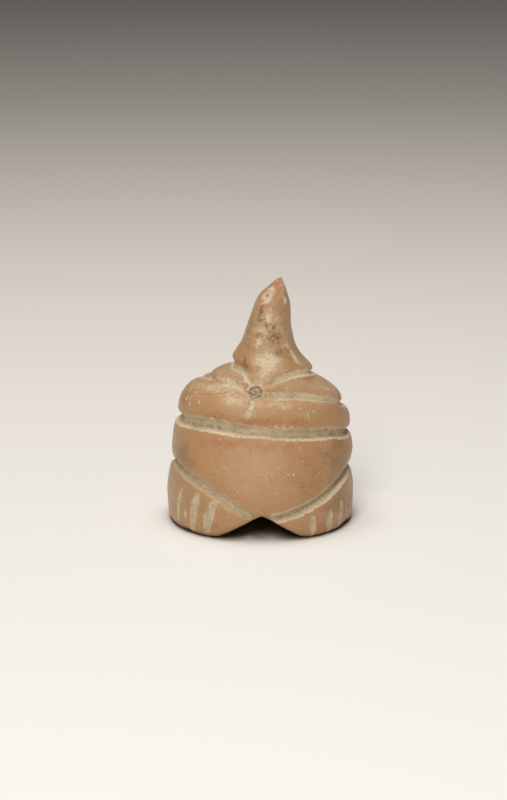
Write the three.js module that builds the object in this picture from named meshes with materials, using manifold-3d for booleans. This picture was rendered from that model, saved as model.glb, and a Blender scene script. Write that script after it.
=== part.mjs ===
// Small terracotta female figurine: a seated, full-bodied figure cut from one lump of clay.
// The head is broken off at the neck. Rolls of the body and two bent legs are parted by gouged grooves.
// Millimetres, +Z up, the front faces -Y, and the origin is the middle of the flat sole.
import * as THREE from 'three';
import { mergeVertices } from 'three/addons/utils/BufferGeometryUtils.js';
import Module from 'manifold-3d';

const wasm = await Module();
wasm.setup();

// The four sides of the bare shape before carving: [height, distance from the axis].
const leftSide = [[0, -23.0], [8, -23.4], [13, -22.8], [19, -22.2], [25, -21.6], [29, -20.8], [32.5, -19.1],
  [34.4, -17.3], [35.3, -15.7], [36.1, -13.2], [37.3, -12.2], [38.2, -10.8], [39.3, -7.8], [41.5, -6.9],
  [44.5, -5.0], [48, -3.8], [56, -0.9], [61, 1.4]];
const rightSide = [[0, 23.0], [8, 23.4], [14, 22.9], [19, 23.1], [25, 22.7], [29, 21.3], [32.5, 19.2], [35, 15.9],
  [36, 14.2], [38.4, 13.1], [41, 10.7], [44, 8.8], [48, 7.7], [56, 7.1], [61, 5.3]];
const frontSide = [[0, 22.9], [7, 23.8], [11, 23.4], [15, 22.0], [23, 17.9], [31, 15.0], [36.5, 10.9], [42, 8.0],
  [52, 5.7], [61, 3.1]];
const backSide = [[0, 18.5], [8, 20.0], [14, 19.8], [23, 17.2], [31, 13.6], [36.5, 10.4], [42, 7.8], [52, 5.6],
  [61, 3.8]];
const squareness = 2.15; // exponent of each horizontal section, 2 being an ellipse

// The mesh of the bare shape.
const columns = 64;
const rowStep = 1.8;
const neckStep = 3.2;
const neckRoot = 42;
const blankHeight = 64;
const cornerGrid = 0.01;
const soleRound = { inset: 1.6, height: 2.2, steps: 3 };

// Gouged grooves: [angle, height] along the path, the angle in degrees from the front towards +X.
// The skin rolls in towards a groove by `roll` over `reach`, and the gouge then cuts `depth` below it.
const grooves = {
  belt: { width: 3.1, depth: 1.1, roll: 1, reach: 5.5, closed: true,
    path: [[-75, 26.6], [-45, 27.2], [-10, 26.4], [30, 25.4], [55, 24.7], [82, 22.9], [135, 22.4], [180, 23.8],
      [225, 25.8]] },
  neckLine: { width: 1.9, depth: 0.8, roll: 0.6, reach: 3,
    path: [[-8, 36.3], [-35, 38.5], [-56, 39.4], [-83, 39.4], [-130, 39.2], [-180, 38.4], [-225, 37.5],
      [-265, 37.4], [-303, 38.5], [-328, 38.4], [-356, 36.7]] },
  waistLineLeft: { width: 1.8, depth: 0.9, roll: 0.8, reach: 4,
    path: [[-10, 34.8], [-22, 35.3], [-36, 36.5], [-47, 37.3], [-60, 37.1], [-76, 36.3], [-100, 35.4], [-130, 34.6]] },
  waistLineRight: { width: 2.2, depth: 0.9, roll: 0.8, reach: 4,
    path: [[2, 34.4], [24, 34.2], [45, 33.8], [69, 32], [82, 30], [100, 29], [130, 29.4]] },
  legLineLeft: { width: 2.9, depth: 1, roll: 0.9, reach: 4.5,
    path: [[-3, 5.9], [-15, 8.2], [-31.5, 11.6], [-55, 14], [-80, 15], [-115, 13.6], [-145, 9.4]] },
  legLineRight: { width: 2.9, depth: 1, roll: 0.9, reach: 4.5,
    path: [[4, 5.4], [20.5, 7.1], [37.5, 9.5], [57.7, 12.2], [80, 13.8], [115, 12.8], [145, 9]] },
  bellyLine: { width: 1.8, depth: 0.6, roll: 0, reach: 1, path: [[-7.5, 33.4], [-10.5, 31.5], [-13.5, 29.6]] },
  cleft: { width: 1.8, depth: 0.6, roll: 1.2, reach: 6, path: [[181, 18.5], [180, 10], [180, 2.5]] },
};
const grooveSpacing = 2.6;

// Toes are short upright strokes on each foot.
const toeDepth = 0.6;
const toes = [
  { top: [-71.8, 10.1], end: [-77, 2.4], width: 0.9 },
  { top: [-55.2, 10.3], end: [-60.5, 2.2], width: 1.2 },
  { top: [-41.2, 9.8], end: [-45, 1.4], width: 2 },
  { top: [-30.2, 8.9], end: [-34.2, 1.8], width: 2.5 },
  { top: [32.2, 5.1], end: [34.2, 0.9], width: 1.9 },
  { top: [46, 5.3], end: [46.5, 0.9], width: 1.5 },
  { top: [57.7, 6.2], end: [55.2, 1.8], width: 1.2 },
  { top: [66.8, 7.6], end: [65.5, 1.4], width: 1 },
];

// Round dents: the navel, and the chip knocked off the upper roll.
const navel = { at: [-5, 35], width: 3.6, depth: 0.9, sunk: 0.8 };
const chip = { at: [-49, 34.8], width: 6.4, depth: 0.7, sunk: 0.2 };

// The figure is shaped about an upright axis that stands this far behind the middle of the sole, the origin.
const axisBehindMiddle = 1.96;

// The gap between the feet: an upright V at the front that runs back under the lap and dies away.
// Its flanks bow out a little: `bowHeight` of its height is reached at `bowWidth` of its half width.
const footGap = { middle: 0.3, height: 6.8, leftHalf: 12, rightHalf: 10.4, bowWidth: 0.45, bowHeight: 0.6,
  front: -23.7, back: -3, steps: 6 };

// The break across the neck: slanting faces that climb from the front rim and the back to a blunt tip at +X.
// Each passes through `point` and climbs by `slope` millimetres for each millimetre along X and Y.
const breakFaces = [
  { point: [2.6, -4.7, 55.6], slope: [0.58, 0.73] },
  { point: [-0.6, -0.5, 56.8], slope: [1.1, -0.66] },
  { point: [6.3, -2.4, 58.3], slope: [0.23, 0.74] },
  { point: [4.5, 1.5, 60.7], slope: [0.05, -0.15] },
];
const breakSlab = 40;

const clayColour = 0xb98456;

const toRadians = (degrees) => THREE.MathUtils.degToRad(degrees);

// Smooth curve through [key, value] pairs: a cubic between neighbours, its slopes weighted by their spacing.
function along(points, key) {
  const last = points.length - 1;
  const rise = (i) => (points[i + 1][1] - points[i][1]) / (points[i + 1][0] - points[i][0]);
  const slope = (i) => {
    if (i === 0) return rise(0);
    if (i === last) return rise(last - 1);
    const before = points[i][0] - points[i - 1][0];
    const after = points[i + 1][0] - points[i][0];
    return (rise(i - 1) * after + rise(i) * before) / (before + after);
  };
  let i = 0;
  while (i < last - 1 && key > points[i + 1][0]) i += 1;
  const step = points[i + 1][0] - points[i][0];
  const t = THREE.MathUtils.clamp((key - points[i][0]) / step, 0, 1);
  return points[i][1] * (1 + 2 * t) * (1 - t) ** 2 + slope(i) * step * t * (1 - t) ** 2
    + points[i + 1][1] * t * t * (3 - 2 * t) - slope(i + 1) * step * t * t * (1 - t);
}

// A point of the bare shape: each horizontal section is a superellipse with its own four reaches.
function skin(angle, z) {
  const turn = toRadians(angle);
  const left = along(leftSide, z);
  const right = along(rightSide, z);
  const depth = Math.cos(turn) > 0 ? along(frontSide, z) : along(backSide, z);
  const across = Math.abs(Math.sin(turn) / ((right - left) / 2)) ** squareness;
  const deep = Math.abs(Math.cos(turn) / depth) ** squareness;
  const reach = (across + deep) ** (-1 / squareness);
  return new THREE.Vector3((left + right) / 2 + reach * Math.sin(turn), -reach * Math.cos(turn), z);
}

// The outward direction of the bare shape, from two short steps along it.
function outward(angle, z) {
  const turnStep = 0.5;
  const heightStep = 0.3;
  const around = skin(angle + turnStep, z).sub(skin(angle - turnStep, z));
  const upward = skin(angle, z + heightStep).sub(skin(angle, z - heightStep));
  return around.cross(upward).normalize();
}

// Stations along a groove: the point on the bare shape, its outward direction and the direction across, upwards.
function trace(groove) {
  const path = groove.closed ? [...groove.path, [groove.path[0][0] + 360, groove.path[0][1]]] : groove.path;
  const angles = path.map(([angle], i) => [i, angle]);
  const heights = path.map(([, z], i) => [i, z]);
  const at = (k) => skin(along(angles, k), along(heights, k));
  const parts = 8 * (path.length - 1);
  let length = 0;
  for (let i = 0; i < parts; i += 1) {
    length += at(path.length * i / parts).distanceTo(at(path.length * (i + 1) / parts));
  }
  const count = Math.max(4, Math.round(length / grooveSpacing));
  const stations = [];
  for (let i = 0; i < (groove.closed ? count : count + 1); i += 1) {
    const k = (path.length - 1) * i / count;
    const point = at(k);
    const normal = outward(along(angles, k), along(heights, k));
    const forward = at(k + 0.01).sub(at(k - 0.01)).normalize();
    const across = normal.clone().cross(forward).normalize();
    const before = stations.length ? stations[stations.length - 1].across : new THREE.Vector3(0, 0, 1);
    if (across.dot(before) < 0) across.negate();
    stations.push({ point, normal, across, t: i / count });
  }
  return stations;
}

// How far the skin rolls in at a point, by its distance from the nearest groove.
function rollIn(point, traces) {
  let deepest = 0;
  for (const { groove, stations } of traces) {
    for (const station of stations) {
      const near = 1 - station.point.distanceTo(point) / groove.reach;
      if (near > 0) deepest = Math.max(deepest, groove.roll * near * near);
    }
  }
  return deepest;
}

// A closed solid through rings of points; `closed` joins the last ring to the first instead of capping both.
function loft(rings, closed = false) {
  const size = rings[0].length;
  const points = rings.flat();
  const index = [];
  const spans = closed ? rings.length : rings.length - 1;
  for (let i = 0; i < spans; i += 1) {
    const here = i * size;
    const next = ((i + 1) % rings.length) * size;
    for (let j = 0; j < size; j += 1) {
      const k = (j + 1) % size;
      index.push(here + j, here + k, next + k, here + j, next + k, next + j);
    }
  }
  if (!closed) {
    const middle = (ring) => ring.reduce((sum, p) => sum.add(p), new THREE.Vector3()).divideScalar(size);
    const first = points.push(middle(rings[0])) - 1;
    const last = points.push(middle(rings[rings.length - 1])) - 1;
    const top = (rings.length - 1) * size;
    for (let j = 0; j < size; j += 1) {
      const k = (j + 1) % size;
      index.push(first, k, j, last, top + j, top + k);
    }
  }
  const geometry = new THREE.BufferGeometry().setFromPoints(points);
  geometry.setIndex(index);
  return geometry;
}

// Turns a closed geometry into a solid, with its faces turned outwards.
function solid(geometry) {
  const bare = geometry.clone();
  bare.deleteAttribute('normal');
  bare.deleteAttribute('uv');
  const merged = mergeVertices(bare, 1e-5);
  const place = merged.attributes.position;
  const index = Array.from(merged.index.array);
  let volume = 0;
  for (let i = 0; i < index.length; i += 3) {
    const [a, b, c] = [0, 1, 2].map((k) => new THREE.Vector3().fromBufferAttribute(place, index[i + k]));
    volume += a.dot(b.cross(c));
  }
  if (volume < 0) index.reverse();
  return new wasm.Manifold(new wasm.Mesh({
    numProp: 3,
    vertProperties: new Float32Array(place.array),
    triVerts: new Uint32Array(index),
  }));
}

// The bare shape with its rolls, as rings from the rounded sole up to a blank top above the break.
function bodyBlank(traces) {
  const levels = [];
  for (let i = 0; i < soleRound.steps; i += 1) levels.push(soleRound.height * (i / soleRound.steps) ** 2);
  for (let z = soleRound.height; z < neckRoot; z += rowStep) levels.push(z);
  for (let z = neckRoot; z < blankHeight; z += neckStep) levels.push(z);
  const rings = levels.map((z) => {
    const ring = [];
    const lift = THREE.MathUtils.clamp(1 - z / soleRound.height, 0, 1);
    const inset = soleRound.inset * (1 - Math.sqrt(1 - lift * lift));
    for (let i = 0; i < columns; i += 1) {
      const angle = 360 * i / columns - 180;
      const point = skin(angle, z);
      const sink = rollIn(point, traces);
      point.addScaledVector(outward(angle, z), -sink);
      point.z = z;
      const flat = new THREE.Vector3(point.x, point.y, 0).normalize();
      ring.push(point.addScaledVector(flat, -inset));
    }
    return ring;
  });
  return solid(loft(rings));
}

// Rings of a gouge's cut: a long slope up to the lower lip, and a steep wall under the roll above.
function gougeRings(stations, groove, fade) {
  const rise = 0.45 * groove.roll;
  const clear = 1.5;
  const section = [[-0.75, clear], [-0.5, rise], [0.1, -groove.depth], [0.36, -groove.depth], [0.5, rise],
    [0.62, clear]];
  return stations.map(({ point, normal, across, t }) => {
    const strength = fade(t);
    const start = point.clone().addScaledVector(normal, -groove.roll + (1 - strength) * (groove.depth + 0.1));
    return section.map(([side, out]) => start.clone()
      .addScaledVector(across, side * groove.width * (0.4 + 0.6 * strength))
      .addScaledVector(normal, out));
  });
}

// The cut of one long groove; an open one runs out over the last millimetres at each end.
function grooveCut({ groove, stations }) {
  const runOut = 0.06;
  const fade = (t) => (groove.closed ? 1 : Math.min(1, t / runOut, (1 - t) / runOut));
  return solid(loft(gougeRings(stations, groove, fade), groove.closed));
}

// The cut of one toe: a straight stroke, deepest at its middle.
function toeCut({ top, end, width }) {
  const steps = 5;
  const stations = [];
  for (let i = 0; i <= steps; i += 1) {
    const t = i / steps;
    const angle = THREE.MathUtils.lerp(top[0], end[0], t);
    const z = THREE.MathUtils.lerp(top[1], end[1], t);
    const normal = outward(angle, z);
    const across = normal.clone().cross(new THREE.Vector3(0, 0, 1)).normalize();
    stations.push({ point: skin(angle, z), normal, across, t });
  }
  const stroke = { width, depth: toeDepth, roll: 0 };
  return solid(loft(gougeRings(stations, stroke, (t) => Math.min(1, 0.2 + 4 * t, 0.2 + 4 * (1 - t)))));
}

// The cut of a round dent: a ball whose cap has the dent's width and depth.
function dentCut({ at, width, depth, sunk }) {
  const radius = (width * width / 4 + depth * depth) / (2 * depth);
  const ball = new THREE.SphereGeometry(radius, 24, 14);
  const normal = outward(...at);
  const centre = skin(...at).addScaledVector(normal, radius - depth - sunk);
  ball.applyQuaternion(new THREE.Quaternion().setFromUnitVectors(new THREE.Vector3(0, 1, 0), normal));
  ball.translate(centre.x, centre.y, centre.z);
  return solid(ball);
}

// The cut between the feet: V sections that shrink backwards along a quarter of an ellipse.
function footGapCut() {
  const { middle, height, leftHalf, rightHalf, bowWidth, bowHeight, front, back, steps } = footGap;
  const below = 1;
  const ahead = 6;
  const section = (y, size) => {
    const widen = size + below / height;
    const outline = [[-leftHalf * widen, -below], [rightHalf * widen, -below],
      [rightHalf * bowWidth * size, height * bowHeight * size], [0, height * size],
      [-leftHalf * bowWidth * size, height * bowHeight * size]];
    return outline.map(([x, z]) => new THREE.Vector3(middle + x, y, z));
  };
  const rings = [section(front - ahead, 1)];
  for (let i = 0; i <= steps; i += 1) {
    const turn = 0.49 * Math.PI * i / steps;
    rings.push(section(front + (back - front) * Math.sin(turn), Math.cos(turn)));
  }
  return solid(loft(rings));
}

// The cut above one face of the break: a thick slab lying on it.
function breakCut({ point, slope }) {
  const normal = new THREE.Vector3(-slope[0], -slope[1], 1).normalize();
  const slab = new THREE.BoxGeometry(breakSlab, breakSlab, breakSlab / 2);
  slab.translate(0, 0, breakSlab / 4);
  slab.applyQuaternion(new THREE.Quaternion().setFromUnitVectors(new THREE.Vector3(0, 0, 1), normal));
  slab.translate(...point);
  return solid(slab);
}

// The mesh with its corners moved to a fine grid, so that none lie closer than that; faces that vanish are dropped.
function snapped({ vertProperties, triVerts }) {
  const round = new THREE.BufferGeometry();
  const places = vertProperties.map((value) => Math.round(value / cornerGrid) * cornerGrid);
  round.setAttribute('position', new THREE.BufferAttribute(places, 3));
  round.setIndex(new THREE.BufferAttribute(triVerts, 1));
  const merged = mergeVertices(round, cornerGrid / 10);
  const corners = merged.index.array;
  const kept = new Map();
  for (let i = 0; i < corners.length; i += 3) {
    const face = [corners[i], corners[i + 1], corners[i + 2]];
    const key = [...face].sort((a, b) => a - b).join();
    if (new Set(face).size < 3) continue;
    if (kept.has(key)) kept.delete(key); // two faces back to back close a fold of no thickness
    else kept.set(key, face);
  }
  merged.setIndex([...kept.values()].flat());
  return merged;
}

// The whole figurine: the rolled blank with every cut taken out of it.
function figurineGeometry() {
  const traces = Object.values(grooves).map((groove) => ({ groove, stations: trace(groove) }));
  const cuts = [
    footGapCut(),
    ...breakFaces.map(breakCut),
    ...traces.map(grooveCut),
    ...toes.map(toeCut),
    dentCut(navel),
    dentCut(chip),
  ];
  const body = cuts.reduce((left, cut) => left.subtract(cut), bodyBlank(traces));
  return snapped(body.getMesh());
}

const figurine = new THREE.Mesh(
  figurineGeometry(),
  new THREE.MeshStandardMaterial({ color: clayColour, roughness: 0.7, metalness: 0, flatShading: true }),
);
figurine.name = 'figurine';
figurine.position.y = axisBehindMiddle;

const group = new THREE.Group();
group.add(figurine);

export default group;
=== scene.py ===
# A small terracotta female figurine: one lump of clay with gouged rolls, folded legs and toes, its head lost.
import bpy
import numpy as np
from math import radians, sin, cos
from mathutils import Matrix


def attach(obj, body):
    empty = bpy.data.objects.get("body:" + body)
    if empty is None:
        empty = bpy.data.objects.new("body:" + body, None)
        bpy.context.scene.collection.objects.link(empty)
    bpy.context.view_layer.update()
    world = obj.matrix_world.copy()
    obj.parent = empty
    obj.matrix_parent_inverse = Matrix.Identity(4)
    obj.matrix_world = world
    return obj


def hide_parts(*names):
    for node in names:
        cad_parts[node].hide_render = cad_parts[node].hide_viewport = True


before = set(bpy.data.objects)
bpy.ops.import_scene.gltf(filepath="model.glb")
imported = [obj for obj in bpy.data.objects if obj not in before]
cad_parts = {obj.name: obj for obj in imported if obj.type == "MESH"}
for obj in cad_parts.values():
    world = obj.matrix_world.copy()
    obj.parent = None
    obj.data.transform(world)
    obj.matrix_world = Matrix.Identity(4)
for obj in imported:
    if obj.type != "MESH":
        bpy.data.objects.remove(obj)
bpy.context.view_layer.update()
mm = 0.001  # the form is worked out in millimetres and put into the mesh in metres


# The figurine's form. Heights and distances in millimetres, angles in degrees round the axis from the front
# towards +X. Each side is a list of (height, distance from the axis) of the bare shape before carving.
figurine = dict(
    leftSide=[(0, -23.0), (8, -23.4), (13, -22.8), (19, -22.2), (25, -21.6), (29, -20.8), (32.5, -19.1),
              (34.4, -17.3), (35.3, -15.7), (35.9, -13.2), (36.9, -12.2), (37.7, -10.8), (38.8, -7.6),
              (41.5, -6.9), (44.5, -5.0), (48, -3.8), (56, -0.9), (61, 1.4)],
    rightSide=[(0, 23.0), (8, 23.4), (14, 22.9), (19, 23.1), (25, 22.7), (29, 21.3), (32.5, 19.2), (35, 15.9),
               (36, 14.2), (38.4, 13.1), (41, 10.7), (44, 8.8), (48, 7.7), (56, 7.1), (61, 5.3)],
    frontSide=[(0, 22.9), (7, 23.8), (11, 23.4), (15, 22.0), (23, 17.9), (31, 15.0), (36.5, 10.9), (42, 8.0),
               (52, 5.7), (61, 3.1)],
    backSide=[(0, 18.5), (8, 20.0), (14, 19.8), (23, 17.2), (31, 13.6), (36.5, 10.4), (42, 7.8), (52, 5.6),
              (61, 3.8)],
    squareness=2.15,  # exponent of each horizontal section, 2 being an ellipse
    axisBehindMiddle=1.96,
    soleRound=dict(inset=1.6, height=2.2),
    columns=400, frontCrowding=0.38,
    bodyRow=0.26, neckRow=0.45, neckRoot=43, topHeight=61,
    capRings=16, soleRings=22)

# Gouged grooves: (angle, height) along each path, and a width, or one for each point of the path. The skin rolls
# in by `roll` over `reach`, and the gouge then cuts `depth` below it. The rest is how each is coloured: `floor` how
# bare of slip the cut is, `cream` how pale its bed, `lip` and `brow` how pale its lower and upper edges, partly
# pale crust and partly a painted highlight where these edges face the light, `crease` how dark its deepest line is
# painted.
grooves = dict(
    belt=dict(width=[3.6, 3.9, 3.2, 3.1, 3.2, 3.1, 3.1, 3.1, 3.3, 3.6], depth=1.1, roll=1.0, reach=5.5, closed=True,
              floor=1.0, cream=0.2, lip=1.0, brow=0.0, crease=0.9,
              path=[(-75, 26.7), (-45, 27.3), (-10, 26.4), (30, 25.4), (55, 24.7), (82, 22.9), (135, 22.4),
                    (180, 23.8), (225, 25.8)]),
    neckLine=dict(width=[1.2, 1.3, 1.4, 1.5, 1.7, 1.9, 1.9, 1.9, 1.9, 1.9, 1.7], depth=0.6, roll=0.5, reach=3,
                  floor=0.9, cream=0.95, lip=0.7, brow=0.0, crease=0.15,
                  path=[(-8, 36.3), (-35, 38.4), (-56, 39.2), (-83, 39.0), (-130, 38.9), (-180, 38.4),
                        (-225, 37.5), (-265, 37.4), (-303, 38.5), (-328, 38.4), (-356, 36.7)]),
    waistLineLeft=dict(width=1.7, depth=0.6, roll=0.6, reach=3.4, floor=0.5, cream=0.6, lip=0.3, brow=0.0,
                       crease=0.1, path=[(-10, 34.9), (-22, 35.5), (-36, 36.8), (-47, 37.6), (-60, 37.5),
                                         (-76, 36.7), (-100, 35.4), (-125, 34.8), (-150, 34.6)]),
    waistLineRight=dict(width=2.2, depth=0.9, roll=0.8, reach=4, floor=1.0, cream=0.75, lip=0.8, brow=0.3,
                        crease=0.2, path=[(2, 34.4), (24, 34.2), (45, 33.8), (69, 32), (82, 30), (100, 29),
                                          (130, 29.4)]),
    legLineLeft=dict(width=2.8, depth=1.0, roll=0.9, reach=4.5, floor=1.0, cream=0.3, lip=0.25, brow=0.2,
                     crease=0.25, path=[(-3, 6.0), (-15, 8.5), (-31.5, 12.0), (-55, 14.4), (-80, 15.2),
                                        (-115, 13.6), (-145, 9.4)]),
    legLineRight=dict(width=2.9, depth=1.0, roll=0.9, reach=4.5, floor=1.0, cream=0.4, lip=0.9, brow=0.8,
                      crease=0.8, path=[(4, 5.4), (20.5, 7.1), (37.5, 9.5), (57.7, 12.2), (80, 13.8),
                                        (115, 12.8), (145, 9)]),
    bellyLine=dict(width=1.8, depth=0.35, roll=0, reach=1, floor=0.9, cream=0.7, lip=0.0, brow=0.0, crease=0.0,
                   even=True, path=[(-7.5, 33.4), (-10.5, 31.5), (-13.5, 29.6)]),
    cleft=dict(width=1.8, depth=0.6, roll=1.2, reach=6, floor=0.3, cream=0.0, lip=0.0, brow=0.0, crease=0.6,
               even=True, path=[(181, 18.5), (180, 10), (180, 2.5)]))

# Straight strokes, each from one (angle, height) to another with a width: the toes, and scratches in the slip.
toes = dict(depth=0.42, floor=0.85, cream=0.38, stain=0, strokes=[
    ((-72.5, 9.6), (-78, 2.6), 1.6), ((-55.3, 10.6), (-60, 2.6), 1.8), ((-40.9, 10.2), (-45.6, 1.4), 2.6),
    ((-29.2, 9.0), (-34.2, 1.8), 2.9), ((31.8, 5.2), (32.8, 0.8), 2.4), ((45.4, 5.6), (45.2, 1.0), 2.3),
    ((56.8, 7.0), (55.4, 1.6), 2.0), ((65.2, 7.6), (65.2, 1.4), 1.7)])
scratches = dict(depth=0.05, floor=0.0, cream=0.6, stain=0, strokes=[
    ((-69.5, 32.4), (-61.5, 29.2), 0.45), ((16.5, 16.6), (21.5, 16.4), 0.5), ((36.8, 30.2), (37.4, 28.2), 0.3),
    ((39.6, 30.4), (39.9, 28.0), 0.35), ((52.5, 32.0), (57.0, 31.4), 0.4), ((20.6, 32.1), (22.4, 31.3), 0.55),
    ((71.5, 34.5), (76.5, 33.7), 0.7), ((-16.2, 35.4), (-14.0, 35.0), 0.5), ((9.0, 31.0), (11.5, 30.6), 0.3),
    ((46.0, 20.0), (49.0, 17.5), 0.25), ((-25.0, 18.0), (-22.0, 17.0), 0.3), ((28.0, 13.0), (33.0, 12.0), 0.3),
    ((-47.0, 31.0), (-44.0, 30.6), 0.3), ((-77.0, 34.6), (-70.0, 36.0), 0.4), ((-71.0, 34.4), (-66.0, 35.4), 0.3),
    ((-68.0, 30.0), (-66.0, 31.2), 0.3), ((33.0, 31.4), (36.5, 31.0), 0.3), ((43.0, 31.0), (47.0, 29.8), 0.3),
    ((25.0, 29.8), (28.0, 29.5), 0.25), ((60.0, 19.0), (66.0, 18.0), 0.3), ((-10.0, 22.4), (-4.0, 22.0), 0.25),
    ((98.0, 20.0), (112.0, 17.0), 0.5), ((-120.0, 30.0), (-128.0, 27.0), 0.5), ((160.0, 33.0), (172.0, 31.0), 0.4),
    ((-160.0, 14.0), (-150.0, 12.0), 0.6), ((150.0, 50.0), (170.0, 47.0), 0.4)])
scarps = dict(depth=0.12, floor=0.0, cream=0.0, stain=0.8, strokes=[  # the lower rim of the flake, and small cracks
    ((-60, 33.7), (-47, 34.1), 0.35), ((-47, 34.1), (-39, 34.6), 0.4), ((-39, 34.6), (-31, 35.5), 0.4),
    ((-2, 34.2), (3, 33.9), 0.3), ((53, 25.7), (55, 25.5), 0.7), ((-60, 25.1), (-52, 25.5), 0.35)])

# Patches on the slip, by the mark they add to: (angle, height, half width, half height, turn, strength).
patches = dict(
    floor=[(-43.5, 35.6, 3.4, 1.5, 14, 0.9)],
    stain=[(-30, 52.6, 1.7, 4.6, 0, 1.0), (-33, 55.2, 1.4, 1.8, 0, 0.8), (-7, 50.4, 1.8, 2.4, 20, 0.9),
           (12, 48.0, 2.6, 3.6, 25, 1.0), (20, 43.8, 2.2, 3.6, 0, 0.8), (-21, 48.0, 1.8, 1.8, 0, 0.9),
           (-42, 40.9, 1.2, 3.0, 30, 1.0), (-48, 44.5, 2.6, 4.2, 0, 0.6), (2, 45.6, 3.0, 2.2, 0, 0.6),
           (40, 50.5, 2.4, 6.0, 0, 0.5), (-60, 49.0, 2.4, 7.0, 0, 0.5), (-60, 26.2, 8.0, 1.5, 0, 0.55),
           (60, 24.4, 8.0, 1.4, 0, 0.5), (150, 47.0, 3.4, 7.0, 20, 0.8), (-140, 43.0, 3.6, 5.0, 0, 0.7),
           (-110, 51.0, 3.0, 5.0, 0, 0.6), (120, 16.0, 5.0, 3.0, 0, 0.5), (-110, 20.0, 5.5, 3.0, 0, 0.45),
           (170, 30.0, 8.0, 3.0, 0, 0.4), (90, 44.0, 2.5, 4.0, 0, 0.5)],
    # cream: pale crust; the two weak patches on the belly's middle (angle 1.2 at height 17.3, angle 11 at height
    # 13.1) are a painted sheen
    cream=[(-6, 52.4, 1.0, 2.6, -10, 0.9), (-17, 49.2, 2.6, 1.3, 0, 0.7), (-22, 46.8, 1.4, 2.8, 0, 0.8),
           (-1, 42.4, 4.0, 6.0, 0, 1.0), (-10, 39.8, 3.0, 3.0, 0, 0.7), (53.5, 42.2, 1.5, 3.2, 15, 0.9),
           (41, 56.0, 1.3, 2.0, 20, 0.9), (39, 45.3, 2.8, 2.2, 0, 0.6), (-62, 37.1, 3.0, 0.8, 0, 1.0),
           (-31, 36.4, 2.0, 0.7, -32, 1.0), (-27, 33.4, 4.2, 3.2, 0, 0.6), (-46, 35.6, 6.5, 2.8, 15, 0.35),
           (-58.2, 32.0, 0.8, 0.8, 0, 1.0), (-76.5, 33.8, 0.9, 0.8, 0, 0.9), (-67, 33.6, 0.8, 0.9, 0, 0.8),
           (-73, 31.8, 0.8, 1.1, 0, 0.8), (-13, 36.2, 1.8, 1.6, 0, 0.7), (1.2, 17.3, 4.0, 3.2, 0, 0.25),
           (11, 13.1, 3.2, 2.0, 0, 0.25), (-50.5, 5.0, 0.8, 1.4, 10, 0.8), (-46.5, 2.6, 0.7, 1.1, 0, 0.8),
           (0, 26.6, 12, 1.4, 4, 0.7), (170, 44.0, 3.0, 4.6, 0, 0.7), (-165, 28.0, 4.5, 3.0, 0, 0.45),
           (135, 33.5, 3.2, 2.4, 0, 0.5), (-95, 8.0, 2.5, 3.0, 0, 0.4), (110, 6.0, 3.0, 2.5, 0, 0.4),
           (-130, 46.0, 2.0, 3.0, 0, 0.5)],
    pale=[(-3, 37.0, 5.0, 3.4, 0, 1.0), (-24, 32.8, 5.5, 2.8, 0, 1.0), (4, 40.5, 5.4, 4.8, 0, 0.8),
          (14, 32.4, 7.0, 2.0, 0, 0.9), (-50, 35.4, 7.0, 3.6, 0, 0.9), (60, 41.0, 2.4, 4.0, 0, 0.6),
          (0, 20.0, 10.0, 4.0, 0, 0.35), (-8, 30.2, 6.0, 1.8, 0, 0.6), (30, 36.5, 6.0, 1.6, 0, 0.5),
          (180, 40.0, 8.0, 6.0, 0, 0.6), (-4, 11.0, 7.0, 3.0, 0, 0.3), (0, 50.0, 9.0, 9.0, 0, 0.8),
          (45, 36.0, 9.0, 3.6, 0, 0.6), (40, 30.2, 8.0, 2.0, 0, 0.5), (-90, 50.0, 5.0, 8.0, 0, 0.5),
          (-20, 44.0, 5.0, 5.0, 0, 0.5)],
    red=[(-40, 29.2, 7.0, 1.6, 0, 0.9), (-6, 28.6, 8.0, 1.5, 0, 1.0), (26, 28.5, 7.0, 1.5, 0, 0.9),
         (-25, 23.4, 9.0, 1.9, 0, 0.9), (8, 22.6, 9.0, 1.9, 0, 1.0), (-32, 3.2, 4.4, 2.4, 0, 0.9),
         (-40, 38.2, 2.4, 0.8, 0, 0.9), (40, 2.8, 4.5, 2.2, 0, 0.8), (-66, 5.0, 3.0, 4.5, 0, 0.7),
         (-70, 20.0, 4.0, 5.0, 0, 0.5), (30, 20.0, 5.0, 5.0, 0, 0.4), (150, 29.0, 11, 2.0, 0, 0.8),
         (-150, 20.5, 11, 2.0, 0, 0.8), (60, 30.0, 4.0, 2.0, 0, 0.5)],
    # The last list is painted shade: the slip darkened towards the sides and round the back, where the light falls
    # off.
    shade=[(-62, 18.0, 9.0, 6.0, 0, 0.8), (58, 18.0, 10, 7.0, 0, 1.0), (30, 13.0, 6.0, 4.0, 0, 0.5),
           (60, 7.0, 10, 5.0, 0, 0.9), (-45, 7.0, 8.0, 4.0, 0, 0.4), (-75, 32.0, 4.0, 4.0, 0, 0.6),
           (75, 31.0, 5.0, 4.0, 0, 0.7), (-60, 50.0, 3.0, 9.0, 0, 0.6), (70, 48.0, 3.0, 9.0, 0, 0.5),
           (140, 14.0, 12, 6.0, 0, 0.8), (-120, 32.0, 9.0, 5.0, 0, 0.6), (-150, 8.0, 8.0, 5.0, 0, 0.7)])

navel = dict(at=(-5, 35), radius=1.75, depth=0.9, earth=0.45)
chip = dict(at=(-46, 35.8), width=6.6, height=2.5, turn=15, depth=0.35, floor=0.25, cream=0.42)
edgeChips = [(66, 0.4, 2.6, 1.3, 0, 0.9), (-52, 0.3, 2.0, 0.9, 0, 0.5), (15, 0.2, 2.2, 0.7, 0, 0.4),
             (128, 0.6, 3.0, 1.4, 0, 0.8), (-135, 0.5, 2.5, 1.0, 0, 0.6)]  # as patches, with a depth for strength

# The V between the feet, open at the front; it runs back under the lap and dies away.
footGap = dict(middle=0.3, height=6.4, leftHalf=11.6, rightHalf=10.6, bow=1.15, ease=0.16, front=-23.7, back=-3)

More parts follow.
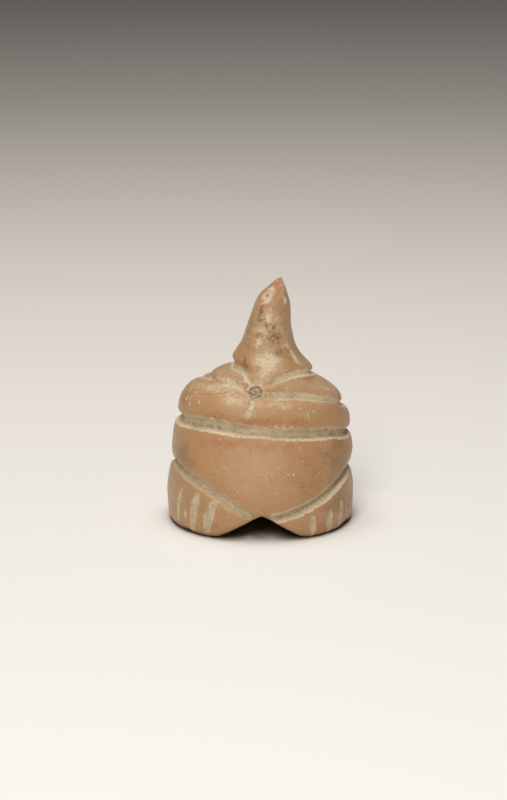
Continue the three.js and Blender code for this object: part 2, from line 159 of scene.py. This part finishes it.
# The break: faces through a point (x, y, z), each climbing by its slope for each millimetre along X and Y.
# The first is the pale one; the pit in it is at (x, y).
breakFaces = [((2.6, -4.7, 55.6), (0.58, 0.73)), ((-0.6, -0.5, 56.8), (1.1, -0.66)),
              ((6.3, -2.4, 58.3), (0.23, 0.74)), ((4.5, 1.5, 60.7), (0.05, -0.15))]
breakLook = dict(pit=(1.65, -1.5), pitRadius=0.5, pitDepth=0.7, coarse=0.20, fine=0.10,
                 palest=(2.3, -2.3), paleRadius=2.3, orange=(4.4, -0.5), orangeRadius=1.0)


def smooth(low, high, x):
    # smoothstep: 0 below low, 1 above high, 3t^2 - 2t^3 between
    t = np.clip((x - low) / (high - low), 0, 1)
    return t * t * (3 - 2 * t)


def along(points, key):
    # cubic Hermite curve through (key, value) pairs, each slope the average of its two neighbours' by spacing
    keys, values = np.array(points, float).T
    step = np.diff(keys)
    rise = np.diff(values) / step
    inner = (rise[:-1] * step[1:] + rise[1:] * step[:-1]) / (step[1:] + step[:-1])
    slope = np.concatenate([rise[:1], inner, rise[-1:]])
    i = np.clip(np.searchsorted(keys, key) - 1, 0, len(step) - 1)
    t = np.clip((key - keys[i]) / step[i], 0, 1)
    return (values[i] * (1 + 2 * t) * (1 - t) ** 2 + slope[i] * step[i] * t * (1 - t) ** 2
            + values[i + 1] * t * t * (3 - 2 * t) - slope[i + 1] * step[i] * t * t * (1 - t))


def skin(angle, z):
    # superellipse section: the reach r at a turn a solves |r sin a / half width|^n + |r cos a / depth|^n = 1
    turn, n = np.radians(angle), figurine["squareness"]
    left, right = along(figurine["leftSide"], z), along(figurine["rightSide"], z)
    depth = np.where(np.cos(turn) > 0, along(figurine["frontSide"], z), along(figurine["backSide"], z))
    reach = (np.abs(2 * np.sin(turn) / (right - left)) ** n + np.abs(np.cos(turn) / depth) ** n) ** (-1 / n)
    return np.stack([(left + right) / 2 + reach * np.sin(turn), -reach * np.cos(turn), z + 0 * turn], -1)


def outward(angle, z):
    # unit normal of the bare shape: the cross product of a short step round it and a short step up it
    around = skin(angle + 0.5, z) - skin(angle - 0.5, z)
    upward = skin(angle, z + 0.3) - skin(angle, z - 0.3)
    normal = np.cross(around, upward)
    return normal / np.linalg.norm(normal, axis=-1, keepdims=True)


def lumps(points, size, seed):
    # smooth random field in -1 to 1: random numbers on a cubic lattice, blended by smoothstep in each cell
    lattice = np.random.default_rng(seed).uniform(-1, 1, (32, 32, 32))
    cell = points / size
    low = np.floor(cell).astype(int)
    part = cell - low
    part = part * part * (3 - 2 * part)
    total = np.zeros(len(points))
    for corner in np.ndindex(2, 2, 2):
        weight = np.prod(np.where(corner, part, 1 - part), axis=1)
        i, j, k = ((low + corner) % 32).T
        total += weight * lattice[i, j, k]
    return total


def trace(groove, spacing=0.4):
    # samples the groove's path on the bare shape: points, unit directions along and across it, and widths
    path = list(groove["path"])
    if groove.get("closed"):
        path.append((path[0][0] + 360, path[0][1]))
    knots = np.arange(len(path))
    angles, heights = np.array(path, float).T
    coarse = np.linspace(0, len(path) - 1, 400)
    line = skin(along(np.stack([knots, angles], 1), coarse), along(np.stack([knots, heights], 1), coarse))
    length = np.linalg.norm(np.diff(line, axis=0), axis=1).sum()
    k = np.linspace(0, len(path) - 1, max(8, int(length / spacing)))
    angle, height = along(np.stack([knots, angles], 1), k), along(np.stack([knots, heights], 1), k)
    point, normal = skin(angle, height), outward(angle, height)
    width = along(np.stack([knots, groove["width"] + 0 * knots], 1), k)
    forward = np.gradient(point, axis=0)
    forward /= np.linalg.norm(forward, axis=1, keepdims=True)
    across = np.cross(normal, forward)
    across *= np.where(across[:, 2:].mean() < 0, -1, 1)  # across points up the figure
    return point, forward, across, width


def nearest(points, line):
    # index of and distance to the nearest sample of a line, for blocks of points at a time
    index, far = np.zeros(len(points), int), np.zeros(len(points))
    for start in range(0, len(points), 8000):
        block = points[start:start + 8000]
        square = (block ** 2).sum(1)[:, None] - 2 * block @ line.T + (line ** 2).sum(1)
        index[start:start + 8000] = square.argmin(1)
        far[start:start + 8000] = np.sqrt(np.maximum(square.min(1), 0))
    return index, far


def add(marks, name, where, value):
    # raises a mark to at least the given value at the chosen points
    marks[name][where] = np.maximum(marks[name][where], value)


def carveGrooves(points, marks):
    # sink at each point: the deepest roll plus the deepest cut. A cut's section climbs from its deepest line in
    # a slope to the lower lip and in a steep wall to the upper edge; an even one is a plain trough.
    rolled, cut = np.zeros(len(points)), np.zeros(len(points))
    for number, groove in enumerate(grooves.values()):
        line, forward, across, width = trace(groove)
        index, far = nearest(points, line)
        close = far < max(groove["reach"], width.max()) + 1
        at, i = points[close], index[close]
        offset = at - line[i]
        side = (offset * across[i]).sum(1) + 0.10 * lumps(at, 0.8, 10 + number)
        past = np.abs((offset * forward[i]).sum(1)) * ((i == 0) | (i == len(line) - 1))
        half = width[i] / 2 * (1 + 0.10 * lumps(line[i], 2.2, 30 + number))
        run = i / (len(line) - 1)
        fade = 1.0 if groove.get("closed") else smooth(0, 0.06, np.minimum(run, 1 - run) + 1e-3)
        fade = fade * (1 - smooth(0, 0.8, past)) * (far[close] < 2.5 * half)
        share = side / half  # -1 at the lower edge, 1 at the upper
        if groove.get("even"):
            shape = 1 - smooth(0.35, 1.0, np.abs(share))
            inside = 1 - smooth(0.7, 1.0, np.abs(share))
        else:
            shape = smooth(-1.05, -0.40, share) * (1 - smooth(0.15, 1.05, share))
            inside = smooth(-1.05, -0.85, share) * (1 - smooth(0.85, 1.02, share))
        depth = groove["depth"] * (1 + 0.10 * lumps(line[i], 3.0, 50 + number)) * fade * shape
        near = np.clip(1 - far[close] / groove["reach"], 0, 1)
        rolled[close] = np.maximum(rolled[close], groove["roll"] * near ** 2)
        cut[close] = np.maximum(cut[close], depth)
        patchy = 1 + 0.35 * lumps(line[i], 2.6, 70 + number)
        # lip and brow are pale crust and partly a painted highlight where the edge faces the light; crease paints
        # the deepest line darker
        lip = smooth(-1.22, -1.00, share) * (1 - smooth(-0.80, -0.48, share))
        brow = smooth(0.45, 0.75, share) * (1 - smooth(0.95, 1.15, share))
        crease = np.exp(-((share + 0.28) / 0.24) ** 2) * smooth(-0.5, 0.6, lumps(line[i], 6.0, 90 + number))
        add(marks, "floor", close, inside * fade * groove["floor"])
        add(marks, "cream", close, inside * fade * groove["cream"] * patchy)
        add(marks, "cream", close, lip * fade * groove["lip"] * patchy)
        add(marks, "cream", close, brow * fade * groove["brow"] * patchy)
        add(marks, "stain", close, crease * fade * groove["crease"])
    return rolled + cut


def carveStrokes(points, marks, group, seed):
    # each stroke is a shallow trough round the straight line between its ends on the bare shape
    cut = np.zeros(len(points))
    for number, (top, end, width) in enumerate(group["strokes"]):
        t = np.linspace(0, 1, 30)
        line = skin(top[0] + t * (end[0] - top[0]), top[1] + t * (end[1] - top[1]))
        index, far = nearest(points, line)
        close = far < width + 1
        ragged = far[close] + 0.10 * width * lumps(points[close], 0.5 * width + 0.4, seed + number)
        half = width / 2 * (0.8 + 0.25 * np.sin(np.pi * index[close] / 29) ** 0.5)
        cut[close] = np.maximum(cut[close], group["depth"] * (1 - smooth(0.3 * half, 1.05 * half, ragged)))
        inside = 1 - smooth(0.7 * half, 1.1 * half, ragged)
        add(marks, "floor", close, inside * group["floor"])
        add(marks, "cream", close, inside * group["cream"] * (1 + 0.5 * lumps(points[close], 1.2, seed + 40)))
        add(marks, "stain", close, inside * group["stain"])
    return cut


def around(points, at, width, height, turn=0):
    # distance from a place on the skin in the plane that touches it there, as a share of an ellipse's reach
    centre, normal = skin(*at), outward(*at)
    sideways = np.cross([0, 0, 1], normal)
    sideways /= np.linalg.norm(sideways)
    upwards = np.cross(normal, sideways)
    offset = points - centre
    u, v = offset @ sideways, offset @ upwards
    c, s = cos(radians(turn)), sin(radians(turn))
    share = np.hypot((u * c + v * s) / width, (v * c - u * s) / height)
    return np.where(offset @ normal > -width - height, share, 99.0)


def carveNavel(points, marks):
    # a round pit with a flat bed of earth, its grains raised by a fine random field
    share = around(points, navel["at"], navel["radius"], navel["radius"]) + 0.06 * lumps(points, 0.7, 150)
    pit = 1 - smooth(0.78, 1.08, share)
    grains = np.maximum(lumps(points, 0.42, 151), -0.2) * 0.22
    bed = 1 - smooth(0.92, 1.06, share)
    marks["earth"][:] = np.maximum(marks["earth"], bed)
    ring = 0.55 * np.exp(-((share - 1.2) / 0.22) ** 2) * (1 + 0.6 * lumps(points, 1.0, 152))
    marks["cream"][:] = np.maximum(marks["cream"], ring) * (1 - bed)
    marks["floor"][:] *= 1 - bed
    return pit * (navel["depth"] - navel["earth"] - grains)


def carveChip(points, marks):
    # a flake off the upper roll: flat inside a ragged edge, deepest along its lower edge
    share = around(points, chip["at"], chip["width"], chip["height"], chip["turn"])
    share = share + 0.20 * lumps(points, 1.6, 155)
    inside = 1 - smooth(0.84, 0.98, share)
    everywhere = slice(None)
    add(marks, "floor", everywhere, inside * chip["floor"])
    add(marks, "cream", everywhere, inside * chip["cream"] * (1 + 0.9 * lumps(points, 1.4, 156)))
    return inside * chip["depth"] * (1 + 0.25 * lumps(points, 0.7, 157))


def paintPatches(points, marks):
    # every patch is an ellipse with a ragged, soft edge
    for name, places in patches.items():
        for number, (angle, z, width, height, turn, strength) in enumerate(places):
            share = around(points, (angle, z), width, height, turn)
            share = share + 0.4 * lumps(points, 0.4 * min(width, height) + 0.4, 160 + number)
            add(marks, name, slice(None), strength * (1 - smooth(0.0, 1.15, share)))


def carveEdge(points):
    # chips off the sole's edge, as patches whose strength is a depth
    cut = np.zeros(len(points))
    for number, (angle, z, width, height, turn, depth) in enumerate(edgeChips):
        share = around(points, (angle, z), width, height, turn) + 0.3 * lumps(points, 0.9, 200 + number)
        cut = np.maximum(cut, depth * (1 - smooth(0.5, 1.1, share)))
    return cut


def gapHeight(x, y):
    # height of the gap's roof: quarter ellipse along y, times t = 1 - u^bow across, u being the share of the half
    # width; (t + sqrt(t^2 + ease^2)) / 2 rounds the foot where t runs out
    back = np.clip((y - footGap["front"]) / (footGap["back"] - footGap["front"]), 0, 1)
    size = np.sqrt(1 - back ** 2)
    half = np.where(x < footGap["middle"], footGap["leftHalf"], footGap["rightHalf"]) * np.maximum(size, 1e-6)
    t = 1 - np.minimum(np.abs(x - footGap["middle"]) / half, 3) ** footGap["bow"]
    rounded = (t + np.sqrt(t ** 2 + footGap["ease"] ** 2)) / 2
    return footGap["height"] * size * np.maximum(rounded - 0.02, 0)


def breakPlane(x, y, face):
    (px, py, z), (gx, gy) = breakFaces[face]
    return z + gx * (x - px) + gy * (y - py)


def breakHeight(x, y):
    # the lowest of the break's faces over each place, less the pit, with a coarse grain
    spots = np.stack([x.ravel(), y.ravel(), 0 * x.ravel()], 1)
    plain = np.min([breakPlane(x, y, face) for face in range(len(breakFaces))], axis=0)
    grain = breakLook["coarse"] * lumps(spots, 1.1, 5) + breakLook["fine"] * lumps(spots, 0.5, 6)
    away = np.hypot(x - breakLook["pit"][0], y - breakLook["pit"][1]) / breakLook["pitRadius"]
    return plain + grain.reshape(x.shape) - breakLook["pitDepth"] * np.exp(-away ** 2)


def paintBreak(points, marks):
    # the first face is pale clay low down, the rest tan with an orange streak by the tip, the pit dark
    x, y = points[:, 0], points[:, 1]
    steeper = np.min([breakPlane(x, y, face) for face in (1, 2, 3)], axis=0)
    paleFace = smooth(-0.25, 0.25, steeper - breakPlane(x, y, 0) + 0.2 * lumps(points, 0.8, 7))
    pit = np.exp(-(np.hypot(x - breakLook["pit"][0], y - breakLook["pit"][1]) / breakLook["pitRadius"]) ** 2)
    paleFace = paleFace * (1 - smooth(0.7, 1.1, np.hypot(x - breakLook["palest"][0], y - breakLook["palest"][1])
                                      / breakLook["paleRadius"] + 0.2 * lumps(points, 0.9, 9)))
    streak = np.hypot(x - breakLook["orange"][0], y - breakLook["orange"][1]) / breakLook["orangeRadius"]
    marks["fracture"][:] = 1
    marks["cream"][:] = 0.85 * paleFace * (1 + 0.3 * lumps(points, 0.9, 8))
    marks["red"][:] = (1 - paleFace) * np.exp(-streak ** 2)
    marks["pale"][:] = 0.4 + 0.5 * lumps(points, 1.2, 14)
    marks["stain"][:] = 1.6 * pit


def settle(angle, start, height):
    # height at which the bare shape's column meets a surface z = height(x, y), by repeated substitution
    z = np.full(angle.shape, float(start))
    for _ in range(12):
        place = skin(angle, z)
        z = 0.5 * z + 0.5 * height(place[..., 0], place[..., 1])
    return z


def wallGrid():
    # rows of points from the sole's edge up to the break: plain heights, eased at both ends to those two edges
    w = np.linspace(-1, 1, figurine["columns"], endpoint=False)
    angle = 180 * (w - figurine["frontCrowding"] * np.sin(np.pi * w) / np.pi)
    low, top = settle(angle, 0, gapHeight), settle(angle, 58, breakHeight)
    edge, root, peak = figurine["soleRound"], figurine["neckRoot"], figurine["topHeight"]
    rim = edge["height"] * (1 - np.cos(np.linspace(0, np.pi / 2, 9)[:-1]))
    levels = np.concatenate([rim, np.arange(edge["height"], root, figurine["bodyRow"]),
                             np.linspace(root, peak, int((peak - root) / figurine["neckRow"]))])
    ease, crown = 18.0, 50.0  # heights where the two edges stop and start to bend the rows
    z = levels[:, None] + low * np.clip(1 - levels[:, None] / ease, 0, 1) ** 2
    share = np.clip((levels[:, None] - crown) / (peak - crown), 0, 1)
    z = np.where(share > 0, crown + share * (top - crown), z)
    turn = np.broadcast_to(angle, z.shape)
    return turn.ravel(), z.ravel(), (z - low).ravel(), len(levels)


def surface(marks, angle, z, aboveEdge):
    # bare shape, pulled in at the sole's edge, then sunk along its normal by rolls, cuts, dents and wear
    bare, normal = skin(angle, z), outward(angle, z)
    normal[:, 2:] *= smooth(0.2, 2.5, aboveEdge)[:, None]  # near the sole the sinking is sideways alone
    normal /= np.linalg.norm(normal, axis=1, keepdims=True)
    edge = figurine["soleRound"]
    lift = np.clip(1 - aboveEdge / edge["height"], 0, 1)
    level = bare * [1, 1, 0]
    bare -= level / np.linalg.norm(level, axis=1, keepdims=True) * (
        edge["inset"] * (1 - np.sqrt(1 - lift ** 2)))[:, None]
    sink = carveGrooves(bare, marks)
    paintPatches(bare, marks)
    sink = np.maximum(sink, sink * 0.6 + carveStrokes(bare, marks, toes, 210))
    sink += carveStrokes(bare, marks, scratches, 260) + carveChip(bare, marks)
    sink += carveStrokes(bare, marks, scarps, 320) + carveNavel(bare, marks)
    add(marks, "pale", slice(None), 0.6 * smooth(0.35, 0.85, normal[:, 2]))  # painted light: paler slip on what faces up, where light from above falls
    sink += carveEdge(bare)
    sink += 0.10 * lumps(bare, 7.0, 1) + 0.05 * lumps(bare, 2.6, 2) + 0.02 * lumps(bare, 1.0, 3)
    sink -= 0.05 * marks["cream"] * np.maximum(lumps(bare, 0.6, 4), 0)  # crumbs of pale crust stand proud
    return bare - normal * sink[:, None]


def gridFaces(first, rows, columns, flip=False):
    # quads between neighbouring rows of a grid that closes on itself
    i = np.arange(rows - 1)[:, None] * columns + first
    j = np.arange(columns)
    k = (j + 1) % columns
    quads = np.stack([i + j, i + k, i + columns + k, i + columns + j], -1).reshape(-1, 4)
    return quads[:, ::-1] if flip else quads


def fillDisc(rim, rings, height, flip, first):
    # rings that shrink from a closed rim to its middle, each point's height from a function of x and y;
    # returns the new points, ending with the middle, and the faces between them
    count = len(rim)
    middle = rim[:, :2].mean(0)
    share = np.linspace(1, 0, rings + 1)[1:-1, None, None]
    flatRings = (middle + (rim[:, :2] - middle) * share).reshape(-1, 2)
    x, y = np.vstack([flatRings, middle]).T
    points = np.stack([x, y, height(x, y)], 1)
    quads = gridFaces(first, rings - 1, count, flip)
    j = np.arange(count)
    k = (j + 1) % count
    last = first + (rings - 2) * count
    tip = first + (rings - 1) * count
    fan = np.stack([last + j, last + k, np.full(count, tip)], 1)
    return points, quads, fan[:, ::-1] if flip else fan


def buildFigurine():
    angle, z, aboveEdge, rows = wallGrid()
    columns, capRings, soleRings = figurine["columns"], figurine["capRings"], figurine["soleRings"]
    wallCount = len(angle)
    capCount, soleCount = columns * (capRings - 1) + 1, columns * (soleRings - 1) + 1
    names = ("floor", "cream", "stain", "earth", "red", "pale", "shade", "fracture")
    marks = {name: np.zeros(wallCount + capCount + soleCount) for name in names}

    def marksOf(first, count):
        return {name: values[first:first + count] for name, values in marks.items()}

    wall = surface(marksOf(0, wallCount), angle, z, aboveEdge)
    print("wall", rows, "rows of", columns, "points")
    soleFirst = wallCount + capCount
    cap, capQuads, capFan = fillDisc(wall[-columns:], capRings, breakHeight, False, wallCount)
    sole, soleQuads, soleFan = fillDisc(wall[:columns], soleRings, gapHeight, True, soleFirst)
    paintBreak(cap, marksOf(wallCount, capCount))
    # the sole is bare of slip and painted darker in olive: painted shade under the figure, to keep the gap between
    # the feet dark
    marks["floor"][soleFirst:] = 0.7
    marks["stain"][soleFirst:] = 0.6
    j = np.arange(columns)
    k = (j + 1) % columns
    top = wallCount - columns
    capJoin = np.stack([top + j, top + k, wallCount + k, wallCount + j], 1)
    soleJoin = np.stack([soleFirst + j, soleFirst + k, k, j], 1)
    points = np.vstack([wall, cap, sole])
    points[:, 1] += figurine["axisBehindMiddle"]
    quads = np.vstack([gridFaces(0, rows, columns), capQuads, soleQuads, capJoin, soleJoin])
    fans = np.vstack([capFan, soleFan])
    mesh = bpy.data.meshes.new("figurineSkin")
    mesh.from_pydata((points * mm).tolist(), [], quads.tolist() + fans.tolist())
    mesh.polygons.foreach_set("use_smooth", np.ones(len(mesh.polygons), bool))
    for name, values in marks.items():
        layer = mesh.attributes.new(name, "FLOAT", "POINT")
        layer.data.foreach_set("value", np.clip(values, 0, 1).astype(np.float32))
    mesh.validate()
    piece = bpy.data.objects.new("figurineBody", mesh)
    bpy.context.collection.objects.link(piece)
    print("figurine", len(points), "points,", 2 * len(quads) + len(fans), "triangles")
    return piece


class Wire:
    # a socket that does arithmetic: every expression adds its Math nodes
    def __init__(self, shader, socket):
        self.shader, self.socket = shader, socket

    def math(self, operation, *others, swap=False):
        values = [self, *others]
        if swap:
            values.reverse()
        return self.shader.node("ShaderNodeMath", dict(operation=operation), dict(enumerate(values)))

    def __add__(self, other): return self.math("ADD", other)
    def __radd__(self, other): return self.math("ADD", other)
    def __sub__(self, other): return self.math("SUBTRACT", other)
    def __rsub__(self, other): return self.math("SUBTRACT", other, swap=True)
    def __mul__(self, other): return self.math("MULTIPLY", other)
    def __rmul__(self, other): return self.math("MULTIPLY", other)
    def __pow__(self, other): return self.math("POWER", other)

    def between(self, low, high):
        # smoothstep from 0 at low to 1 at high
        return self.shader.node("ShaderNodeMapRange", dict(interpolation_type="SMOOTHSTEP"),
                                {"Value": self, "From Min": low, "From Max": high})


class Shader:
    # one material's nodes
    def __init__(self, name):
        self.material = bpy.data.materials.new(name)
        self.material.use_nodes = True
        self.tree = self.material.node_tree
        self.surface = self.tree.nodes["Principled BSDF"]
        self.place = self.node("ShaderNodeTexCoord", {}, {}, "Object")

    def node(self, kind, settings, inputs, output=0):
        made = self.tree.nodes.new(kind)
        for name, value in settings.items():
            if name == "stops":
                ramp = made.color_ramp
                while len(ramp.elements) < len(value):
                    ramp.elements.new(1.0)
                for stop, (position, colour) in zip(ramp.elements, value):
                    stop.position, stop.color = position, (*colour, 1)
            else:
                setattr(made, name, value)
        for name, value in inputs.items():
            self.feed(made.inputs[name], value)
        return Wire(self, made.outputs[output])

    def feed(self, socket, value):
        if isinstance(value, Wire):
            self.tree.links.new(value.socket, socket)
        else:
            socket.default_value = value

    def mark(self, name):
        return self.node("ShaderNodeAttribute", dict(attribute_name=name), {}, "Fac")

    def noise(self, size, detail=3, roughness=0.55, stretch=None):
        # noise whose lumps are about `size` millimetres across
        place = self.place
        if stretch:
            place = self.node("ShaderNodeVectorMath", dict(operation="MULTIPLY"), {0: place, 1: stretch})
        return self.node("ShaderNodeTexNoise", {}, {"Vector": place, "Scale": 1 / (size * mm), "Detail": detail,
                                                     "Roughness": roughness}, "Fac")

    def blend(self, factor, first, second):
        return self.node("ShaderNodeMix", dict(data_type="RGBA"), {0: factor, 6: first, 7: second}, 2)


def paint(red, green, blue):
    # display colour, 0 to 255, as the linear values that a shader takes
    share = np.array([red, green, blue]) / 255
    return tuple(np.where(share < 0.04045, share / 12.92, ((share + 0.055) / 1.055) ** 2.4))


def solid(colour):
    return (*colour, 1)


clay = dict(
    slip=solid(paint(184, 138, 92)), slipRed=solid(paint(176, 116, 70)), slipPale=solid(paint(204, 170, 130)),
    paintedSlipShade=solid(paint(146, 106, 66)), bare=solid(paint(204, 181, 145)), grey=solid(paint(164, 145, 112)),
    cream=solid(paint(226, 205, 168)), olive=solid(paint(106, 80, 42)), earth=solid(paint(112, 86, 52)),
    broken=solid(paint(172, 124, 80)), grime=solid(paint(124, 94, 58)),
    speckSize=1.0, pitSize=1.6, roughSlip=0.44, dust=0.12)


def clayMaterial():
    s = Shader("terracotta")
    # each noise runs from about -1 to 1 round its middle
    broad, mid, small = 5 * (s.noise(8, 3) - 0.5), 5 * (s.noise(2.4, 4) - 0.5), 5 * (s.noise(1.0, 4) - 0.5)
    fine, sand = 5 * (s.noise(0.5, 4, 0.65) - 0.5), 5 * (s.noise(0.3, 2) - 0.5)
    floor, cream, stain, earth = s.mark("floor"), s.mark("cream"), s.mark("stain"), s.mark("earth")
    red, pale, shade, fracture = s.mark("red"), s.mark("pale"), s.mark("shade"), s.mark("fracture")
    colour = s.blend((red * 0.9 + broad * 0.2 + mid * 0.15).between(0.0, 1.1), clay["slip"], clay["slipRed"])
    # painted shade: the slip turns darker towards the sides
    colour = s.blend((shade + mid * 0.2).between(0.0, 1.2) * 0.8, colour, clay["paintedSlipShade"])
    # pale slip, with the painted light on what faces up
    colour = s.blend((pale + mid * 0.25 + small * 0.2 - 0.1).between(0.0, 1.1), colour, clay["slipPale"])
    colour = s.blend(fracture, colour, s.blend((red + mid * 0.2).between(0.1, 0.9), clay["broken"],
                                               clay["slipRed"]))
    mottle = small * 0.5 + fine * 0.6 + mid * 0.3
    worn = (0.22 + stain * 0.5 + pale * 0.35 + fracture * 0.3)  # where the slip is thin it is more mottled
    colour = s.blend(mottle.between(0.0, 1.1) * worn, colour, clay["grime"])
    colour = s.blend((0 - mottle).between(0.0, 1.2) * worn, colour, clay["slipPale"])
    bareClay = s.blend((mid * 0.5 + small * 0.5).between(-0.6, 0.8), clay["bare"], clay["grey"])
    bareMask = (floor + fine * 0.16 + small * 0.12).between(0.22, 0.70)
    colour = s.blend(bareMask, colour, bareClay)
    creamMask = (cream + fine * 0.26 + small * 0.24).between(0.15, 1.0)
    # cream crust; on the grooves' edges it is partly a painted highlight
    colour = s.blend(creamMask * 0.92, colour, clay["cream"])
    # olive stains, and the painted shade on the sole; also the darker deepest lines of the grooves
    stainAndShadeMask = (stain * 0.85 + fine * 0.40 + small * 0.36).between(0.3, 1.1)
    colour = s.blend(stainAndShadeMask * 0.78, colour, clay["olive"])
    grit = s.blend((fine * 0.5 + small * 0.4).between(-0.5, 0.5), clay["earth"], clay["bare"])
    colour = s.blend(earth, colour, grit)
    specks = s.node("ShaderNodeTexVoronoi", {}, {"Vector": s.place, "Scale": 1 / (clay["speckSize"] * mm)},
                    "Distance")
    speckMask = (1 - specks.between(0.12, 0.30)) * (mid + broad * 0.4 + pale * 0.5).between(0.0, 0.8)
    colour = s.blend(speckMask * 0.5, colour, clay["cream"])
    pits = s.node("ShaderNodeTexVoronoi", {}, {"Vector": s.place, "Scale": 1 / (clay["pitSize"] * mm)},
                  "Distance")
    pitMask = (1 - pits.between(0.06, 0.18)) * (small + broad * 0.5).between(0.0, 0.6)
    colour = s.blend(pitMask * 0.7, colour, clay["grime"])
    tone = 1 + fine * 0.07 + small * 0.05 + sand * 0.07
    colour = s.node("ShaderNodeVectorMath", dict(operation="SCALE"), {0: colour, "Scale": tone}, "Vector")
    s.feed(s.surface.inputs["Base Color"], colour)
    rough = clay["roughSlip"] + fine * 0.04 + small * 0.04 + bareMask * 0.32 + creamMask * 0.2 + stainAndShadeMask * 0.1
    s.feed(s.surface.inputs["Roughness"], rough)
    s.surface.inputs["Sheen Weight"].default_value = clay["dust"]
    relief = fine * 0.34 + sand * 0.22 + small * 0.3 - pitMask * 1.2 + creamMask * 0.3 + fine * creamMask * 0.4
    bump = s.node("ShaderNodeBump", {}, {"Strength": 0.7, "Distance": 0.08 * mm, "Height": relief}, "Normal")
    s.feed(s.surface.inputs["Normal"], bump)
    return s.material


studio = dict(
    floorSize=8.0, floorCentre=(0.0, -0.25),  # painted light: the paper's colour is palest a little in front of the object and darkens away from it, a pool of light falling off
    floorSpan=1.5,
    floorStops=[(0.0, (252, 250, 243)), (0.15, (248, 244, 236)), (0.24, (246, 239, 230)), (0.33, (241, 232, 222)),
                (0.45, (225, 217, 208)), (0.64, (197, 189, 181)), (0.95, (168, 160, 152))],
    shadeReach=0.007, shadeFrom=0.34, shadeTo=0.58, shadeColour=(112, 102, 90),
    lights=[dict(name="overhead", place=(-0.05, 0.08, 0.90), size=0.80, power=4.3),
            dict(name="front", place=(-0.16, -0.80, 0.70), size=0.45, power=5.4)],
    skyTop=0.24, skyEdge=0.06)


def buildFloor():
    half = studio["floorSize"] / 2
    mesh = bpy.data.meshes.new("paperFloor")
    mesh.from_pydata([(-half, -half, 0), (half, -half, 0), (half, half, 0), (-half, half, 0)], [], [(0, 1, 2, 3)])
    floor = bpy.data.objects.new("paperFloor", mesh)
    bpy.context.collection.objects.link(floor)
    s = Shader("paper")
    x, y = studio["floorCentre"]
    # painted light: the paper's colour falls off with distance from a point in front of the object
    away = s.node("ShaderNodeVectorMath", dict(operation="DISTANCE"), {0: s.place, 1: (x, y, 0)}, "Value")
    stops = [(position, paint(*colour)) for position, colour in studio["floorStops"]]
    shade = s.node("ShaderNodeValToRGB", dict(stops=stops), {"Fac": away * (1 / studio["floorSpan"])}, "Color")
    # painted contact shadow: the paper's colour turns dark where the object stands close over it
    open_ = s.node("ShaderNodeAmbientOcclusion", dict(samples=8), {"Distance": studio["shadeReach"]}, "AO")
    lit = open_.between(studio["shadeFrom"], studio["shadeTo"])
    s.feed(s.surface.inputs["Base Color"], s.blend(lit, solid(paint(*studio["shadeColour"])), shade))
    s.surface.inputs["Roughness"].default_value = 0.9
    s.surface.inputs["Specular IOR Level"].default_value = 0.1
    mesh.materials.append(s.material)


def buildSky():
    # dim room: grey overhead, darker towards the horizon
    world = bpy.data.worlds.new("studio")
    world.use_nodes = True
    tree = world.node_tree
    direction = tree.nodes.new("ShaderNodeTexCoord")
    parts = tree.nodes.new("ShaderNodeSeparateXYZ")
    height = tree.nodes.new("ShaderNodeMapRange")
    height.inputs["To Min"].default_value = studio["skyEdge"]
    height.inputs["To Max"].default_value = studio["skyTop"]
    tree.links.new(direction.outputs["Generated"], parts.inputs[0])
    tree.links.new(parts.outputs["Z"], height.inputs["Value"])
    tree.links.new(height.outputs[0], tree.nodes["Background"].inputs["Strength"])
    tree.nodes["Background"].inputs["Color"].default_value = (1, 1, 1, 1)
    bpy.context.scene.world = world


def areaLight(name, place, size, power, target):
    light = bpy.data.lights.new(name, "AREA")
    light.shape, light.size, light.energy = "DISK", size, power
    lamp = bpy.data.objects.new(name, light)
    lamp.location = place
    towards = np.array(target) - np.array(place)
    turn = np.arctan2(np.hypot(towards[0], towards[1]), -towards[2])
    lamp.rotation_euler = (turn, 0, np.arctan2(-towards[0], towards[1]))
    bpy.context.collection.objects.link(lamp)


view = dict(target=(-1.75, 1.96, 29.8), away=650.0, elevation=15.0, lens=117.0)  # millimetres and degrees


def buildCamera():
    camera = bpy.data.cameras.new("camera")
    camera.lens, camera.clip_start, camera.clip_end = view["lens"], 0.01, 50
    holder = bpy.data.objects.new("camera", camera)
    tilt = radians(view["elevation"])
    x, y, z = view["target"]
    holder.location = (x * mm, (y - view["away"] * cos(tilt)) * mm, (z + view["away"] * sin(tilt)) * mm)
    holder.rotation_euler = (radians(90) - tilt, 0, 0)
    bpy.context.collection.objects.link(holder)
    bpy.context.scene.camera = holder


buildCamera()
body = buildFigurine()
body.data.materials.append(clayMaterial())
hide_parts("figurine")
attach(body, "root")
print("figurine built")

buildFloor()
middle = (0, 0, 0.02)
for light in studio["lights"]:
    areaLight(light["name"], light["place"], light["size"], light["power"], middle)
buildSky()
bpy.context.scene.view_settings.view_transform = "Standard"
print("studio built")
